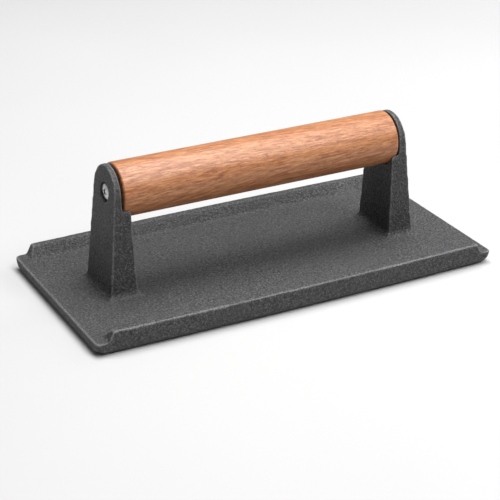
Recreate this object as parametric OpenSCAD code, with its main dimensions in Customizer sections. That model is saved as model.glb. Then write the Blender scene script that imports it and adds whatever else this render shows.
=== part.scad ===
// Cast-iron bacon press. One iron casting holds a flat sole plate, a raised rail
// along each long side and two tapered posts. A turned wooden grip lies between
// the posts, with its ends in round seats, and spins on two sleeve nuts that a
// long tie rod holds together. Sizes are in millimetres. The origin is the middle
// of the sole's underside, X runs along the grip and Z points up.

/* [Sole plate] */
// Length of the sole plate
plate_l = 210; // [204:1:216]
// Width of the sole plate at its ends
plate_w = 102.5; // [98:0.5:108]
// How far each long side bows out at its middle
side_bow = 1.2; // [0.6:0.2:2]
// Thickness of the plate between the rails
plate_t = 6.3; // [6:0.1:6.5]
// Radius of the plate's corners, seen from above
corner_r = 2.6; // [2:0.2:4]
// Chamfer under the plate's edge, all the way round
sole_chamfer = 2; // [1:0.2:3]

/* [Rails] */
// Height of the rails above the underside
rail_h = 11.4; // [10:0.2:13]
// Width of a rail at its foot
rail_foot = 8.8; // [7:0.2:10]
// Width of a rail's flat top
rail_top = 4.2; // [3.4:0.2:5]
// Length of a rail at its foot
rail_l = 198; // [190:1:200]
// How far each end of a rail slopes in over its height
rail_end_slope = 2.6; // [1:0.2:4]

/* [Posts] */
// Distance between the inner faces of the posts at the plate
post_gap = 136.6; // [134:0.2:140]
// Thickness of a post at the plate, measured along the grip
post_foot = 14; // [13:0.1:15]
// How far a post's outer face leans in for each millimetre of height
outer_draft = 0.088; // [0.06:0.002:0.1]
// How far a post's inner face leans out for each millimetre of height
inner_draft = 0.038; // [0.02:0.002:0.05]
// Half the depth of a post at the plate
post_half = 14.8; // [14:0.05:15.5]
// How far the front and back faces lean in for each millimetre of height
side_draft = 0.052; // [0.052, 0.058]
// Radius of the fillet round a post's foot
foot_r = 3.4; // [3.4]
// How far the centre of a post's round top lies above the grip's axis
arch_rise = 0.8; // [0.6:0.1:0.9]

/* [Grip] */
// Diameter of the wooden grip
grip_d = 26.2; // [25:0.2:27]
// Length of the wooden grip
grip_l = 146; // [145:0.2:147]
// Height of the grip's axis above the underside
axis_h = 54.3; // [52:0.1:57]
// Chamfer round each end of the grip
grip_chamfer = 0.5; // [0.4:0.1:1.2]
// Gap between the grip's side and the round seat in each post
seat_gap = 0.3; // [0.3:0.05:0.6]
// Distance between the floors of the two seats
seat_span = 148.2; // [148:0.1:149]

/* [Fasteners] */
// Diameter of the tie rod
rod_d = 4; // [4:0.5:5]
// Diameter of the sleeve nuts' barrels, which carry the grip
barrel_d = 6.4; // [6.2:0.1:7]
// Running clearance round a barrel, on the radius
barrel_fit = 0.08; // [0.03:0.01:0.1]
// How far a barrel reaches into the grip
barrel_reach = 18; // [12:1:24]
// Diameter of a sleeve nut's head
head_d = 7.5; // [7:0.1:8.2]
// Thickness of a sleeve nut's head at its rim
head_rim = 0.9; // [0.7:0.1:1]
// Height of the dome on a sleeve nut's head
head_dome = 0.7; // [0.5:0.1:0.8]
// Diameter of the pocket that hides a head
pocket_d = 9.2; // [9:0.1:10]
// How far a head's top lies below the post's outer face
head_sink = 0.45; // [0.3:0.05:0.6]
// Diameter of the washers at the grip's ends
washer_d = 14; // [12:0.5:16]
// Thickness of the washers at the grip's ends
washer_t = 0.7; // [0.5:0.1:0.8]

/* [Colours] */
// Colour of the cast iron
iron_color = "#4b4b4d";
// Colour of the wooden grip
wood_color = "#b5754a";
// Colour of the steel parts
steel_color = "#b9bcc0";

/* [Hidden] */
$fn = 96;
big_fn = 2400;                                    // facets of a bowed side's full circle
eps = 0.01;                                       // overlap that joins two solids
over = 1;                                         // how far a cut runs past a face

grip_r = grip_d / 2;
seat_r = grip_r + seat_gap;
seat_x = seat_span / 2;                           // floor of a seat
post_in = post_gap / 2;                           // inner face at the plate
post_out = post_in + post_foot;                   // outer face at the plate
axis_rise = axis_h - plate_t;                     // from the plate up to the grip's axis
arch_z = axis_rise + arch_rise;                   // from the plate up to the arch's centre
arch_r = post_half - side_draft * arch_z;         // round top of a post
outer_x = post_out - outer_draft * axis_rise;     // outer face beside the axis

bow_r = (pow(rail_l / 2, 2) + pow(side_bow, 2)) / (2 * side_bow);
half_w = plate_w / 2 + side_bow;                  // from the middle to a bowed side

bore_r = barrel_d / 2 + barrel_fit;
head_top = outer_x - head_sink;
pocket_floor = head_top - head_rim - head_dome;
barrel_end = grip_l / 2 - barrel_reach;
thread_l = 12;                                    // length of rod held in each barrel
thread_spare = 0.5;                               // hole left beyond the rod's end
rod_half = barrel_end + thread_l;
slot_w = 1.1;                                     // width of the cross recess's arms
slot_l = 4.6;                                     // length of the arms
slot_depth = 1.1;                                 // depth of the recess

// The plate's outline: a rectangle with round corners and a shallow arc on each long side.
module plate_outline() {
    dx = plate_l / 2 - corner_r;
    dy = plate_w / 2 - corner_r;
    square([plate_l, 2 * dy], center = true);
    square([2 * dx, plate_w], center = true);
    for (x = [-dx, dx], y = [-dy, dy])
        translate([x, y]) circle(corner_r);
    intersection() {
        translate([0, half_w - bow_r]) circle(bow_r, $fn = big_fn);
        translate([0, bow_r - half_w]) circle(bow_r, $fn = big_fn);
        square([2 * dx, plate_w + 3 * side_bow], center = true);
    }
}

// What is cut from a full-height slab to leave the plate and its two rails: the
// trough between the rails, and everything above the plate beyond the rails' ends.
module rail_cuts() {
    above = rail_h + over;
    foot = half_w - rail_foot;
    slope = (rail_foot - rail_top) / (rail_h - plate_t);
    brim = foot + slope * (above - plate_t);
    end_slope = rail_end_slope / (rail_h - plate_t) * (above - plate_t);
    rotate([90, 0, 90])
        linear_extrude(2 * plate_l, center = true)
            polygon([[-foot, plate_t], [foot, plate_t], [brim, above], [-brim, above]]);
    rotate([90, 0, 0])
        linear_extrude(2 * plate_w, center = true)
            for (m = [0, 1])
                mirror([m, 0]) polygon([
                    [rail_l / 2, plate_t], [plate_l, plate_t],
                    [plate_l, above], [rail_l / 2 - end_slope, above]
                ]);
}

// The wedges under the plate's edges: curved ones along the bowed sides, straight
// ones across the ends.
module sole_cuts() {
    side = sole_chamfer + over;
    for (turn = [0, 180])
        rotate(turn) {
            translate([0, half_w - bow_r])
                rotate_extrude($fn = big_fn) translate([bow_r, 0]) under_edge(side);
            rotate([90, 0, 0])
                linear_extrude(2 * plate_w, center = true)
                    translate([plate_l / 2, 0]) under_edge(side);
        }
}

// A wedge whose long side cuts the chamfer from an edge at the origin.
module under_edge(side) {
    polygon([[-side, -over], [over, -over], [over, side]]);
}

module slab() {
    difference() {
        linear_extrude(rail_h) plate_outline();
        rail_cuts();
        sole_cuts();
    }
}

// Fills the corner between the plate (y = 0) and a face that leans by draft, with a true arc.
module foot_fillet(draft) {
    lean = atan(draft);
    reach = foot_r / tan(45 + lean / 2);
    difference() {
        polygon([[-eps, -eps], [reach, -eps], [reach, 0], [-reach * sin(lean), reach * cos(lean)]]);
        translate([reach, foot_r]) circle(foot_r);
    }
}

// Seen along Y: the post's outer and inner faces, from the plate to above its top.
module post_front() {
    top = arch_z + arch_r + over;
    polygon([
        [post_in, -over], [post_out, -over], [post_out, 0],
        [post_out - outer_draft * top, top], [post_in + inner_draft * top, top], [post_in, 0]
    ]);
    translate([post_out, 0]) foot_fillet(outer_draft);
    translate([post_in, 0]) mirror([1, 0]) foot_fillet(inner_draft);
}

// Seen along X: leaning sides that run into a round arch over the grip's axis.
module post_side() {
    polygon([
        [-post_half, -over], [post_half, -over], [post_half, 0],
        [arch_r, arch_z], [-arch_r, arch_z], [-post_half, 0]
    ]);
    translate([0, arch_z]) circle(arch_r);
    for (m = [0, 1])
        mirror([m, 0]) translate([post_half, 0]) foot_fillet(side_draft);
}

// The post at +X, solid.
module post() {
    translate([0, 0, plate_t])
        intersection() {
            rotate([90, 0, 0]) linear_extrude(4 * post_half, center = true) post_front();
            rotate([90, 0, 90]) linear_extrude(plate_l) post_side();
        }
}

// What the grip and a sleeve nut take out of the post at +X.
module post_cuts() {
    translate([0, 0, axis_h]) rotate([0, 90, 0]) {
        cylinder(r = seat_r, h = seat_x);
        cylinder(r = bore_r, h = plate_l / 2);
        translate([0, 0, pocket_floor]) cylinder(d = pocket_d, h = plate_l / 2 - pocket_floor);
    }
}

module press_casting() {
    color(iron_color)
        difference() {
            union() {
                slab();
                for (turn = [0, 180])
                    rotate(turn) post();
            }
            for (turn = [0, 180])
                rotate(turn) post_cuts();
        }
}

module wood_handle() {
    color(wood_color)
        translate([0, 0, axis_h]) rotate([0, 90, 0])
            difference() {
                union() {
                    cylinder(r = grip_r, h = grip_l - 2 * grip_chamfer, center = true);
                    for (m = [0, 1])
                        mirror([0, 0, m]) translate([0, 0, grip_l / 2 - grip_chamfer])
                            cylinder(r1 = grip_r, r2 = grip_r - grip_chamfer, h = grip_chamfer);
                }
                cylinder(r = bore_r, h = grip_l + over, center = true);
            }
}

module tie_rod() {
    color(steel_color)
        translate([0, 0, axis_h]) rotate([0, 90, 0])
            cylinder(d = rod_d, h = 2 * rod_half, center = true);
}

// The sleeve nut at +X: a domed head with a cross recess, on a barrel with a blind thread.
module sleeve_nut() {
    dome_r = (pow(head_d / 2, 2) + pow(head_dome, 2)) / (2 * head_dome);
    color(steel_color)
        translate([0, 0, axis_h]) rotate([0, 90, 0])
            difference() {
                union() {
                    translate([0, 0, barrel_end])
                        cylinder(d = barrel_d, h = pocket_floor - barrel_end + eps);
                    translate([0, 0, pocket_floor]) intersection() {
                        cylinder(d = head_d, h = head_rim + head_dome);
                        translate([0, 0, head_rim + head_dome - dome_r]) sphere(dome_r, $fn = 200);
                    }
                }
                translate([0, 0, barrel_end - over])
                    cylinder(d = rod_d, h = over + thread_l + thread_spare);
                for (turn = [0, 90])
                    translate([0, 0, head_top]) rotate(turn)
                        cube([slot_l, slot_w, 2 * slot_depth], center = true);
            }
}

// The washer at +X, which keeps the grip off the iron.
module end_washer() {
    color(steel_color)
        translate([seat_x - washer_t, 0, axis_h]) rotate([0, 90, 0])
            difference() {
                cylinder(d = washer_d, h = washer_t);
                translate([0, 0, -over]) cylinder(r = bore_r, h = washer_t + 2 * over);
            }
}

module sleeve_nut_left() { rotate(180) sleeve_nut(); }
module sleeve_nut_right() { sleeve_nut(); }
module end_washer_left() { rotate(180) end_washer(); }
module end_washer_right() { end_washer(); }

press_casting();
wood_handle();
tie_rod();
sleeve_nut_left();
sleeve_nut_right();
end_washer_left();
end_washer_right();
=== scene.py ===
"""Looks of the cast-iron bacon press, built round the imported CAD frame.

Every piece is made in millimetres in the CAD's own frame and scaled to metres once, when its
mesh is written. X runs along the grip, Y across the plate and Z up from the sole.
"""
import math

import bmesh
import bpy
import numpy as np
from mathutils import Matrix, Vector, noise


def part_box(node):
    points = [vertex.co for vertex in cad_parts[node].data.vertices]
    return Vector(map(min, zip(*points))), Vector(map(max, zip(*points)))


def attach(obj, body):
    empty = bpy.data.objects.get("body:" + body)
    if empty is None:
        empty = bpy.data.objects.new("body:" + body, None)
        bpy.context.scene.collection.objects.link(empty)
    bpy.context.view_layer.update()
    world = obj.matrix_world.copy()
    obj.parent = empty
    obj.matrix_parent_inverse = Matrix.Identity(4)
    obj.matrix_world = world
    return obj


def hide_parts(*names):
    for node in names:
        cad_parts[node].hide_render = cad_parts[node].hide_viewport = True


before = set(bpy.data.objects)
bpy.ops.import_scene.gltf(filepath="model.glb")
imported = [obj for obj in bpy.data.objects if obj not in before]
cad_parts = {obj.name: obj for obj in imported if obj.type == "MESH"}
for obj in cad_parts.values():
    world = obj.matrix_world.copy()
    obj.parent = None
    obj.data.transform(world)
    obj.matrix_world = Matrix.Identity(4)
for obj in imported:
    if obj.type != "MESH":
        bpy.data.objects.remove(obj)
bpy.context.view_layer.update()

MM = 0.001

# ---------------------------------------------------------------- sizes, in millimetres

POCKET_R = 4.6            # pocket that hides a sleeve nut's head
BORE_R = 3.28             # hole for a sleeve nut's barrel, in the iron and in the wood
ROD_R = 2.0               # tie rod, and the thread inside a sleeve nut
BARREL_R = 3.2
HEAD_RIM = 0.9            # thickness of a sleeve nut's head at its rim
HEAD_DOME = 0.7           # height of its dome
ROD_HOLD = 12.5           # depth of the threaded hole
CHAMFER = 0.5             # round each end of the grip
PLATE_T = 6.3             # sole plate between the rails

VOXEL = 0.55              # grid of the casting's mesh before it is thinned
CAST_FACES = 185_000      # triangles left in the casting
ROUNDS_ALL = 3            # smoothing steps that round every edge of the casting
ROUNDS_POST = 2           # more of them on the posts, whose edges are softer
ROUNDS_EDGE_FIND = 8           # smoothing steps that tell an edge from a hollow
RELAX = 0.5               # share of the way that a point moves in a smoothing step
WEAR_HIGHLIGHT_FROM, WEAR_HIGHLIGHT_FULL = 0.06, 0.26     # how far an edge stands proud where its paler wear and painted highlight start and are full
GRAIN = 0.12              # depth of the sand-cast grain
GRAIN_RATE = 0.9          # its grains to the millimetre
SWELL = 0.10              # depth of the slow waves in the cast faces
SWELL_RATE = 0.07         # their waves to the millimetre
POST_BLEND = 4.0          # height over which the posts' extra smoothing comes in
FLAT_TO, ROUGH_FROM = 0.2, 1.6        # heights between which the sole's flat turns rough
SHARP_IRON, SHARP_TURNED, SHARP_HEAD = math.radians(60), math.radians(50), math.radians(35)
CORNER_R = 2.6            # corners of the plate's top edge
CORNER_SPREAD = 6.0       # how much rounder the corners are at the sole
SOLE_R = 2.6              # rounding of the edge under the plate
SIDE_BOW = 1.2            # how far each long side bows out at its middle

# ---------------------------------------------------------------- places, from the frame


def box_mm(node):
    low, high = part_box(node)
    return low / MM, high / MM


cast_low, cast_high = box_mm("press_casting")
grip_low, grip_high = box_mm("wood_handle")
nut_low, nut_high = box_mm("sleeve_nut_right")
washer_low, washer_high = box_mm("end_washer_right")
AXIS_Z = (grip_low.z + grip_high.z) / 2
GRIP_R = (grip_high.z - grip_low.z) / 2
POCKET_FLOOR = nut_high.x - HEAD_RIM - HEAD_DOME
NUT_R = (nut_high.z - nut_low.z) / 2


# ---------------------------------------------------------------- mesh helpers


def piece(name, mesh, material, body, slot, *stands_for):
    """Links a mesh as a piece of the object, ties it to its CAD body and hides the CAD nodes it stands
    for. The slot is not used.
    """
    mesh.name = name
    mesh.materials.clear()
    mesh.materials.append(material)
    obj = bpy.data.objects.new(name, mesh)
    bpy.context.scene.collection.objects.link(obj)
    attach(obj, body)
    if stands_for:
        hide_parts(*stands_for)
    return obj


def mesh_of(bm, name):
    mesh = bpy.data.meshes.new(name)
    bm.to_mesh(mesh)
    bm.free()
    return mesh


def modified(mesh, **modifiers):
    """The mesh after a stack of modifiers, each given as TYPE=settings."""
    obj = bpy.data.objects.new("work", mesh)
    bpy.context.scene.collection.objects.link(obj)
    for kind, settings in modifiers.items():
        modifier = obj.modifiers.new(kind, kind)
        for key, value in settings.items():
            setattr(modifier, key, value)
    shown = obj.evaluated_get(bpy.context.evaluated_depsgraph_get())
    result = bpy.data.meshes.new_from_object(shown)
    bpy.data.objects.remove(obj)
    return result


def cut(mesh, *cutters):
    """The mesh with each cutter mesh taken out of it."""
    for cutter in cutters:
        tool = bpy.data.objects.new("cutter", cutter)
        bpy.context.scene.collection.objects.link(tool)
        mesh = modified(mesh, BOOLEAN={"operation": "DIFFERENCE", "object": tool, "solver": "EXACT"})
        bpy.data.objects.remove(tool)
    return mesh


def soften(profile, radius, steps=4):
    """A lathe profile with each inner corner turned into an arc of about that radius."""
    out = [profile[0]]
    for before, corner, after in zip(profile, profile[1:], profile[2:]):
        p, c, n = Vector(before), Vector(corner), Vector(after)
        reach = min(radius, (p - c).length * 0.45, (n - c).length * 0.45)
        start, end = c + (p - c).normalized() * reach, c + (n - c).normalized() * reach
        for i in range(steps + 1):
            t = i / steps
            out.append(tuple((1 - t) ** 2 * start + 2 * t * (1 - t) * c + t * t * end))
    out.append(profile[-1])
    return out


def lathe(profile, name, segments=96, along=1.0):
    """Turns a profile of (x, radius) points about the grip's axis. A profile that starts and
    ends at radius 0 closes at its poles, and any other profile closes on itself."""
    bm = bmesh.new()
    rings = []
    for x, r in profile:
        if r < 1e-6:
            rings.append([bm.verts.new((x * MM * along, 0, AXIS_Z * MM))])
            continue
        rings.append([
            bm.verts.new((x * MM * along, r * MM * math.cos(a), (AXIS_Z + r * math.sin(a)) * MM))
            for a in (2 * math.pi * i / segments for i in range(segments))
        ])
    pairs = list(zip(rings, rings[1:]))
    if profile[0][1] > 1e-6:
        pairs.append((rings[-1], rings[0]))
    for a, b in pairs:
        for i in range(segments):
            j = (i + 1) % segments
            corners = [a[i % len(a)], a[j % len(a)], b[j % len(b)], b[i % len(b)]]
            unique = list(dict.fromkeys(corners))
            if len(unique) > 2:
                bm.faces.new(unique)
    bmesh.ops.recalc_face_normals(bm, faces=bm.faces)
    for face in bm.faces:
        face.smooth = True
    return mesh_of(bm, name)


def points_of(mesh):
    co = np.empty(len(mesh.vertices) * 3)
    mesh.vertices.foreach_get("co", co)
    return co.reshape(-1, 3) / MM


def normals_of(mesh):
    out = np.empty(len(mesh.vertices) * 3)
    mesh.vertex_normals.foreach_get("vector", out)
    return out.reshape(-1, 3)


def put_points(mesh, co):
    mesh.vertices.foreach_set("co", (co * MM).ravel())
    mesh.update()


def relaxed(co, edges, share, rounds):
    """Points moved a share of the way to the mean of their neighbours, again and again."""
    a, b = edges.T
    degree = np.bincount(edges.ravel(), minlength=len(co))[:, None]
    for _ in range(rounds):
        total = np.stack([
            np.bincount(a, co[b, k], len(co)) + np.bincount(b, co[a, k], len(co)) for k in range(3)
        ], axis=1)
        co = co + share[:, None] * (total / degree - co)
    return co


def smooth_step(x, low, high):
    t = np.clip((x - low) / (high - low), 0, 1)
    return t * t * (3 - 2 * t)


def round_sole(co):
    """Draws the points near the plate's lower edge in, so that the edge and its corners are
    round."""
    rise = np.clip(co[:, 2], 0, PLATE_T)
    under = SOLE_R - np.clip(rise, 0, SOLE_R)
    inset = SOLE_R - np.sqrt(SOLE_R ** 2 - under ** 2)
    corner = CORNER_R + CORNER_SPREAD * (1 - rise / PLATE_T) ** 2
    long_half = cast_high.x
    wide_half = cast_high.y - SIDE_BOW * (co[:, 0] / long_half) ** 2
    qx = np.abs(co[:, 0]) - (long_half - corner)
    qy = np.abs(co[:, 1]) - (wide_half - corner)
    in_corner = (qx > 0) & (qy > 0)
    reach = np.where(in_corner, np.hypot(qx, qy), np.maximum(qx, qy))
    excess = np.clip(reach - corner + inset, 0, None) * (co[:, 2] < PLATE_T)
    span = np.where(in_corner, np.maximum(reach, 1e-6), 1.0)
    step_x = np.where(in_corner, qx / span, qx > qy)
    step_y = np.where(in_corner, qy / span, qx <= qy)
    moved = co.copy()
    moved[:, 0] -= np.sign(co[:, 0]) * step_x * excess
    moved[:, 1] -= np.sign(co[:, 1]) * step_y * excess
    return moved


# ---------------------------------------------------------------- shader helpers


class Shader:
    """A node material with one Principled shader, and short calls to add nodes."""

    def __init__(self, name):
        self.material = bpy.data.materials.new(name)
        self.material.use_nodes = True
        self.nodes, self.links = self.material.node_tree.nodes, self.material.node_tree.links
        self.surface = self.nodes["Principled BSDF"]
        place = self.nodes.new("ShaderNodeTexCoord").outputs["Object"]
        self.mm = self.scaled(place, (1 / MM,) * 3)

    def add(self, kind, inputs=(), **settings):
        node = self.nodes.new("ShaderNode" + kind)
        for key, value in settings.items():
            setattr(node, key, value)
        for key, value in dict(inputs).items():
            self.put(node.inputs[key], value)
        return node

    def put(self, socket, value):
        if isinstance(value, bpy.types.NodeSocket):
            self.links.new(value, socket)
        else:
            socket.default_value = value

    def scaled(self, vector, factors):
        return self.add("VectorMath", {0: vector, 1: factors}, operation="MULTIPLY").outputs[0]

    def moved(self, vector, offset):
        return self.add("VectorMath", {0: vector, 1: offset}, operation="ADD").outputs[0]

    def noise(self, vector, scale, detail=3.0, rough=0.5):
        node = self.add("TexNoise", {
            "Vector": vector, "Scale": scale, "Detail": detail, "Roughness": rough})
        return node.outputs["Fac"]

    def cells(self, vector, scale, feature="F1"):
        node = self.add("TexVoronoi", {"Vector": vector, "Scale": scale}, feature=feature)
        return node.outputs["Distance"]

    def math(self, operation, a, b=0.0, c=0.0):
        node = self.add("Math", operation=operation)
        for socket, value in zip(node.inputs, (a, b, c)):
            self.put(socket, value)
        return node.outputs[0]

    def span(self, value, low, high, to_low=0.0, to_high=1.0):
        return self.add("MapRange", {
            "Value": value, "From Min": low, "From Max": high, "To Min": to_low, "To Max": to_high,
        }).outputs[0]

    def ramp(self, value, stops):
        node = self.add("ValToRGB", {"Fac": value})
        ramp = node.color_ramp
        while len(ramp.elements) < len(stops):
            ramp.elements.new(1.0)
        for element, (at, color) in zip(ramp.elements, stops):
            element.position = at
            element.color = (*color, 1.0)
        return node.outputs["Color"]

    def mix(self, share, a, b, blend="MIX"):
        node = self.add("Mix", data_type="RGBA", blend_type=blend)
        for index, value in ((0, share), (6, a), (7, b)):
            self.put(node.inputs[index], (*value, 1.0) if isinstance(value, tuple) else value)
        return node.outputs[2]

    def attribute(self, name):
        return self.add("Attribute", attribute_name=name).outputs["Fac"]

    def bump(self, height, depth, normal=None):
        """Bump whose height, from 0 to 1, stands for depth millimetres."""
        inputs = {"Height": height, "Distance": depth * MM, "Strength": 1.0}
        if normal is not None:
            inputs["Normal"] = normal
        return self.add("Bump", inputs).outputs[0]

    def finish(self, **sockets):
        for key, value in sockets.items():
            socket = self.surface.inputs[key.replace("_", " ")]
            self.put(socket, (*value, 1.0) if isinstance(value, tuple) else value)
        return self.material


def iron_material():
    """Seasoned cast iron: pebbly sand grain, mottled charcoal, paler on the edges as wear and as a painted
    highlight.
    """
    s = Shader("cast_iron")
    pebbles = s.cells(s.mm, 1.05, "SMOOTH_F1")
    grit = s.noise(s.mm, 1.9, 4.0, 0.62)
    fine = s.noise(s.mm, 4.5, 3.0, 0.6)
    slow = s.noise(s.mm, 0.06, 3.0, 0.5)
    patch = s.noise(s.moved(s.mm, (40, 11, 7)), 0.35, 2.0, 0.5)
    height = s.math("ADD", s.math("MULTIPLY", grit, 0.85), s.math("MULTIPLY", pebbles, -0.45))
    relief = s.span(height, -0.10, 0.55)
    tone = s.ramp(s.span(relief, 0.25, 0.85), [
        (0.0, (0.017, 0.017, 0.018)), (0.5, (0.050, 0.050, 0.052)), (1.0, (0.135, 0.136, 0.137))])
    tone = s.mix(s.span(slow, 0.35, 0.65, 0.0, 0.30), tone, (0.045, 0.042, 0.046))
    tone = s.mix(s.span(patch, 0.55, 0.75, 0.0, 0.25), tone, (0.080, 0.080, 0.081))
    # edges painted paler, partly as worn bare iron and partly as a painted highlight
    wear_and_highlight = s.math("MULTIPLY", s.attribute("wear_and_highlight"), s.span(grit, 0.38, 0.62, 0.25, 1.0))
    tone = s.mix(s.math("MULTIPLY", wear_and_highlight, 0.75), tone, (0.330, 0.332, 0.335))
    rough = s.span(fine, 0.3, 0.7, 0.46, 0.66)
    rough = s.math("SUBTRACT", rough, s.math("MULTIPLY", wear_and_highlight, 0.12))
    normal = s.bump(relief, 0.36)
    normal = s.bump(fine, 0.06, normal)
    return s.finish(Base_Color=tone, Roughness=rough, Normal=normal, Metallic=0.0, Specular_IOR_Level=0.32)


def wood_material():
    """Oiled beech: growth rings cut lengthwise, fibres, and short dark ray flecks."""
    s = Shader("oiled_beech")
    local = s.moved(s.mm, (0, 0, -AXIS_Z))
    wander = s.noise(s.scaled(local, (0.012, 0.05, 0.05)), 1.0, 3.0, 0.5)
    drift = s.span(wander, 0.0, 1.0, -9.0, 9.0)
    split = s.add("SeparateXYZ", {0: local})
    x, y, z = split.outputs
    lean_y = s.math("MULTIPLY_ADD", x, 0.11, y)
    lean_z = s.math("MULTIPLY_ADD", x, -0.07, z)
    grain = s.add("CombineXYZ", {0: x, 1: lean_y, 2: lean_z}).outputs[0]
    across = s.math("ADD", s.math("ADD", s.math("MULTIPLY", y, 0.55), s.math("MULTIPLY", z, 0.85)), drift)
    across = s.math("ADD", across, s.math("MULTIPLY", x, 0.045))
    rings = s.math("SINE", s.math("MULTIPLY", across, 2.1))
    fibre = s.noise(s.scaled(grain, (0.09, 1.3, 1.3)), 1.0, 5.0, 0.66)
    streak = s.noise(s.scaled(grain, (0.02, 0.35, 0.35)), 1.0, 3.0, 0.55)
    fleck = s.cells(s.scaled(grain, (0.28, 1.7, 1.7)), 1.0)
    pore = s.noise(s.scaled(grain, (0.25, 3.0, 3.0)), 1.0, 2.0, 0.6)
    tone = s.ramp(s.span(fibre, 0.28, 0.72), [
        (0.0, (0.130, 0.038, 0.013)), (0.45, (0.350, 0.130, 0.050)), (1.0, (0.560, 0.270, 0.125))])
    tone = s.mix(s.span(rings, 0.1, 1.0, 0.0, 0.35), tone, (0.230, 0.070, 0.025))
    tone = s.mix(s.span(streak, 0.45, 0.75, 0.0, 0.40), tone, (0.560, 0.285, 0.135))
    marks = s.math("MULTIPLY", s.span(fleck, 0.34, 0.10), s.span(pore, 0.40, 0.58))
    tone = s.mix(s.math("MULTIPLY", marks, 0.8), tone, (0.085, 0.028, 0.014))
    rough = s.span(fibre, 0.3, 0.7, 0.48, 0.34)
    relief = s.math("SUBTRACT", fibre, s.math("MULTIPLY", marks, 0.5))
    return s.finish(
        Base_Color=tone, Roughness=rough, Normal=s.bump(relief, 0.12), Specular_IOR_Level=0.45,
        Coat_Weight=0.12, Coat_Roughness=0.35)


def steel_material():
    """Zinc plate with faint turning marks, and painted shade down in the heads' recesses."""
    s = Shader("zinc_steel")
    local = s.moved(s.mm, (0, 0, -AXIS_Z))
    split = s.add("SeparateXYZ", {0: local})
    x, y, z = split.outputs
    square = s.math("ADD", s.math("MULTIPLY", y, y), s.math("MULTIPLY", z, z))
    turned = s.math("SINE", s.math("MULTIPLY", s.math("SQRT", square), 38.0))
    cloud = s.noise(s.mm, 0.9, 3.0, 0.6)
    tone = s.ramp(cloud, [(0.3, (0.42, 0.43, 0.45)), (0.7, (0.62, 0.62, 0.62))])
    rough = s.span(cloud, 0.3, 0.7, 0.26, 0.42)
    # painted shade: the cross and all steel below the head's dome turn near black and rougher
    dome = s.math("SUBTRACT", nut_high.x, s.math("MULTIPLY", square, HEAD_DOME / (NUT_R * NUT_R)))
    recess_shade = s.span(s.math("SUBTRACT", dome, s.math("ABSOLUTE", x)), 0.10, 0.55)
    tone = s.mix(s.math("MULTIPLY", recess_shade, 0.85), tone, (0.035, 0.033, 0.032))
    rough = s.math("MAXIMUM", rough, s.math("MULTIPLY", recess_shade, 0.75))
    return s.finish(
        Base_Color=tone, Roughness=rough, Metallic=1.0, Normal=s.bump(s.span(turned, -1, 1), 0.006))


# ---------------------------------------------------------------- pieces


def build_casting(material):
    """The CAD casting remeshed, with its edges rounded, its skin roughened and its nut pockets
    cut clean again."""
    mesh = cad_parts["press_casting"].data.copy()
    mesh = modified(mesh, REMESH={"mode": "VOXEL", "voxel_size": VOXEL * MM})
    co = points_of(mesh)
    edges = np.empty(len(mesh.edges) * 2, np.int32)
    mesh.edges.foreach_get("vertices", edges)
    edges = edges.reshape(-1, 2)
    everywhere = np.full(len(co), RELAX)
    co = relaxed(co, edges, everywhere, ROUNDS_ALL)
    on_post = RELAX * smooth_step(co[:, 2], PLATE_T, PLATE_T + POST_BLEND)
    co = round_sole(relaxed(co, edges, on_post, ROUNDS_POST))
    put_points(mesh, co)
    normal = normals_of(mesh)
    # points that stand proud of their smoothed place are edges, which the iron paints paler as wear and as
    # a painted highlight
    inward = ((co - relaxed(co, edges, everywhere, ROUNDS_EDGE_FIND)) * normal).sum(1)
    wear_and_highlight = smooth_step(inward, WEAR_HIGHLIGHT_FROM, WEAR_HIGHLIGHT_FULL)

    depth = np.array([
        GRAIN * (0.5 + 0.5 * noise.noise(Vector(p) * GRAIN_RATE))
        + SWELL * (0.5 + 0.5 * noise.noise(Vector(p) * SWELL_RATE))
        for p in co
    ])
    off_sole = smooth_step(co[:, 2], FLAT_TO, ROUGH_FROM)
    co = co - normal * (depth * off_sole)[:, None]
    co = np.clip(co, np.array(cast_low), np.array(cast_high))
    put_points(mesh, co)
    attribute = mesh.attributes.new("wear_and_highlight", "FLOAT", "POINT")
    attribute.data.foreach_set("value", wear_and_highlight.astype(np.float32))

    faces = sum(len(p.vertices) - 2 for p in mesh.polygons)
    mesh = modified(mesh, DECIMATE={"ratio": min(1.0, CAST_FACES / faces)})
    far = cast_high.x
    for side in (1, -1):
        pocket = [(POCKET_FLOOR, 0), (POCKET_FLOOR, POCKET_R), (far, POCKET_R), (far, 0)]
        bore = [(nut_low.x, 0), (nut_low.x, BORE_R), (far, BORE_R), (far, 0)]
        mesh = cut(
            mesh, lathe(pocket, "pocket", along=side), lathe(bore, "bore", along=side))
    for polygon in mesh.polygons:
        polygon.use_smooth = True
    mesh.set_sharp_from_angle(angle=SHARP_IRON)
    return piece("iron_casting", mesh, material, "press", "cast_iron", "press_casting")


def build_grip(material):
    end, inner = grip_high.x, BORE_R
    half = [(end, inner), (end, GRIP_R - CHAMFER), (end - CHAMFER, GRIP_R), (end - 2, GRIP_R)]
    half = soften(half, 0.5)
    body = [(x, GRIP_R) for x in np.linspace(end - 2, 2 - end, 72)[1:-1]]
    profile = half + body + [(-x, r) for x, r in reversed(half)]
    mesh = lathe(profile, "grip", segments=144)
    mesh.set_sharp_from_angle(angle=SHARP_TURNED)
    return piece("turned_grip", mesh, material, "grip", "beech", "wood_handle")


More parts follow.
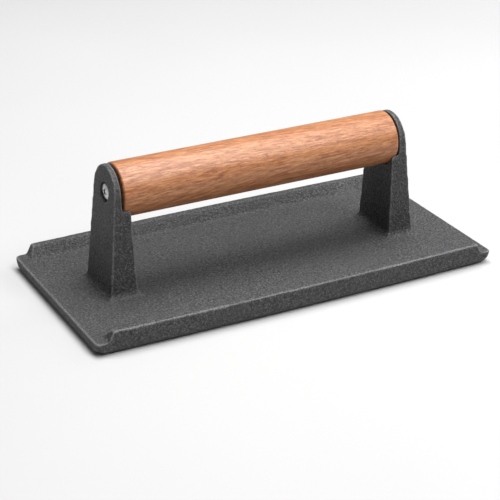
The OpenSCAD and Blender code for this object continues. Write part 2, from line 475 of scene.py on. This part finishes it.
def cross_recess(side, turn, reach=2.25, width=1.0, depth=1.5):
    """A tapered cross that a screwdriver has pressed into a head, as one cutter per arm."""
    tools = []
    for quarter in (0, math.pi / 2):
        bm = bmesh.new()
        top, bottom = nut_high.x + 0.5, nut_high.x - depth
        corners = []
        for x, long, wide in ((top, reach + 0.35, width * 0.62), (bottom, reach * 0.45, width * 0.3)):
            corners.append([
                bm.verts.new(Matrix.Rotation(turn + quarter, 3, "X") @ Vector((x, u * long, v * wide)))
                for u, v in ((-1, -1), (1, -1), (1, 1), (-1, 1))
            ])
        bm.faces.new(corners[0])
        bm.faces.new(corners[1])
        for i in range(4):
            j = (i + 1) % 4
            bm.faces.new((corners[0][i], corners[0][j], corners[1][j], corners[1][i]))
        bmesh.ops.transform(
            bm, matrix=Matrix.Diagonal((MM * side, MM, MM, 1)) @ Matrix.Translation((0, 0, AXIS_Z)),
            verts=bm.verts)
        bmesh.ops.recalc_face_normals(bm, faces=bm.faces)
        tools.append(mesh_of(bm, "arm"))
    return tools


def build_nut(name, side, turn, material):
    """A sleeve nut: domed head with a pressed cross, on a barrel with a blind thread."""
    top, r = nut_high.x, NUT_R
    curve = (r * r + HEAD_DOME ** 2) / (2 * HEAD_DOME)
    dome = [
        (top - curve + math.sqrt(curve ** 2 - q * q), q) for q in np.linspace(0, r - 0.25, 14)
    ]
    rim = soften([
        dome[-1], (top - HEAD_DOME, r), (POCKET_FLOOR, r), (POCKET_FLOOR, BARREL_R),
        (nut_low.x, BARREL_R), (nut_low.x, ROD_R), (nut_low.x + ROD_HOLD, ROD_R),
        (nut_low.x + ROD_HOLD, 0)], 0.22, 3)
    mesh = lathe(dome[:-1] + rim, name, 64, side)
    mesh = cut(mesh, *cross_recess(side, turn))
    for polygon in mesh.polygons:
        polygon.use_smooth = True
    mesh.set_sharp_from_angle(angle=SHARP_HEAD)
    node = "sleeve_nut_right" if side > 0 else "sleeve_nut_left"
    return piece(name, mesh, material, "press", "steel", node)


def build_washer(name, side, material):
    r = (washer_high.z - washer_low.z) / 2
    loop = [
        (washer_low.x, (r + BORE_R) / 2), (washer_low.x, r), (washer_high.x, r),
        (washer_high.x, BORE_R), (washer_low.x, BORE_R), (washer_low.x, (r + BORE_R) / 2 - 0.05)]
    mesh = lathe(soften(loop, 0.2, 3), name, 64, side)
    mesh.set_sharp_from_angle(angle=SHARP_TURNED)
    node = "end_washer_right" if side > 0 else "end_washer_left"
    return piece(name, mesh, material, "press", "steel", node)


iron, wood, steel = iron_material(), wood_material(), steel_material()
build_casting(iron)
build_grip(wood)
build_nut("nut_left", -1, math.radians(20), steel)
build_nut("nut_right", 1, math.radians(62), steel)
build_washer("washer_left", -1, steel)
build_washer("washer_right", 1, steel)
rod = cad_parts["tie_rod"]
rod.data.materials.clear()
rod.data.materials.append(steel)

# ---------------------------------------------------------------- camera, floor and light

YAW, PITCH, ROLL = math.radians(27.94), math.radians(25.48), math.radians(0.18)
DISTANCE = 770.2          # from the camera to the aim point, in millimetres
AIM_Z = 30.0              # height of the aim point
SHIFT_RIGHT, SHIFT_UP = -2.10, -19.93
LENS = 114.85             # with a 36 mm sensor


def build_camera():
    forward = Vector((
        math.sin(YAW) * math.cos(PITCH), math.cos(YAW) * math.cos(PITCH), -math.sin(PITCH)))
    level = forward.cross(Vector((0, 0, 1))).normalized()
    upright = level.cross(forward)
    right = level * math.cos(ROLL) + upright * math.sin(ROLL)
    up = upright * math.cos(ROLL) - level * math.sin(ROLL)
    place = Vector((0, 0, AIM_Z)) - forward * DISTANCE + right * SHIFT_RIGHT + up * SHIFT_UP
    data = bpy.data.cameras.new("camera")
    data.lens, data.sensor_width = LENS, 36.0
    data.clip_start, data.clip_end = 0.05, 50
    obj = bpy.data.objects.new("camera", data)
    turned = Matrix((right, up, -forward)).transposed().to_4x4()
    obj.matrix_world = Matrix.Translation(place * MM) @ turned
    bpy.context.scene.collection.objects.link(obj)
    bpy.context.scene.camera = obj
    return obj


def build_floor():
    """A plain, flat, pale floor just under the sole."""
    bm = bmesh.new()
    bmesh.ops.create_grid(bm, x_segments=8, y_segments=8, size=6.0)
    mesh = mesh_of(bm, "floor")
    s = Shader("pale_floor")
    tone = s.ramp(s.noise(s.mm, 0.004, 2.0), [(0.3, (0.45, 0.45, 0.45)), (0.7, (0.47, 0.47, 0.47))])
    mesh.materials.append(s.finish(Base_Color=tone, Roughness=0.9, Specular_IOR_Level=0.1))
    floor = bpy.data.objects.new("floor", mesh)
    floor.location.z = -0.0002
    bpy.context.scene.collection.objects.link(floor)


def soft_light(name, place, watts, width, height):
    data = bpy.data.lights.new(name, "AREA")
    data.shape, data.size, data.size_y, data.energy = "RECTANGLE", width, height, watts
    obj = bpy.data.objects.new(name, data)
    obj.location = place
    aim = Vector((0, 0, 0.03)) - Vector(place)
    obj.rotation_euler = aim.to_track_quat("-Z", "Y").to_euler()
    bpy.context.scene.collection.objects.link(obj)


build_camera()
build_floor()
soft_light("key", (0.40, -0.75, 1.05), 12.0, 0.7, 0.5)
soft_light("top", (0.15, 0.10, 1.2), 23.0, 0.9, 0.7)
soft_light("right", (1.1, 0.1, 0.5), 3.5, 0.6, 0.6)
world = bpy.data.worlds.new("studio")
world.use_nodes = True
world.node_tree.nodes["Background"].inputs["Color"].default_value = (1.0, 1.0, 1.0, 1.0)
world.node_tree.nodes["Background"].inputs["Strength"].default_value = 0.22
bpy.context.scene.world = world
bpy.context.scene.view_settings.view_transform = "Standard"
